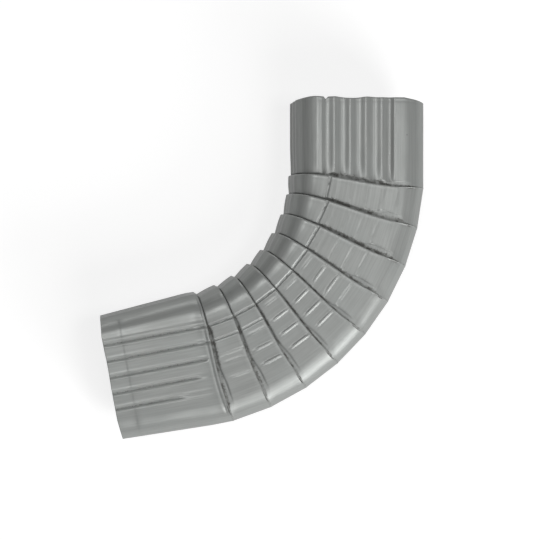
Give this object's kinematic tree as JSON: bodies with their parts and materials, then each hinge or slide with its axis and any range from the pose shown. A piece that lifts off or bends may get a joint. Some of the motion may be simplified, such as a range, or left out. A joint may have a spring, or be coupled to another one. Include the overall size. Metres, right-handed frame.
{
  "type": "downspout elbow",
  "caption": "Rectangular corrugated sheet-metal downspout elbow with a pleated bend of about 80 degrees and a pressed, slightly tapered outlet end.",
  "frame": {"origin": "middle of the bounding box, at the surface that the elbow lies on", "axes": "+Z out of the upper wide face, +Y out of the inlet along its leg; the bend lies in the XY plane and the outlet points to -X, turned 10.3 degrees towards -Y"},
  "size_m": [0.1904, 0.1984, 0.0541],
  "materials": {
    "sheet": "satin grey coated sheet"
  },
  "bodies": {
    "root": {"elbow": "sheet"}
  },
  "joints": []
}
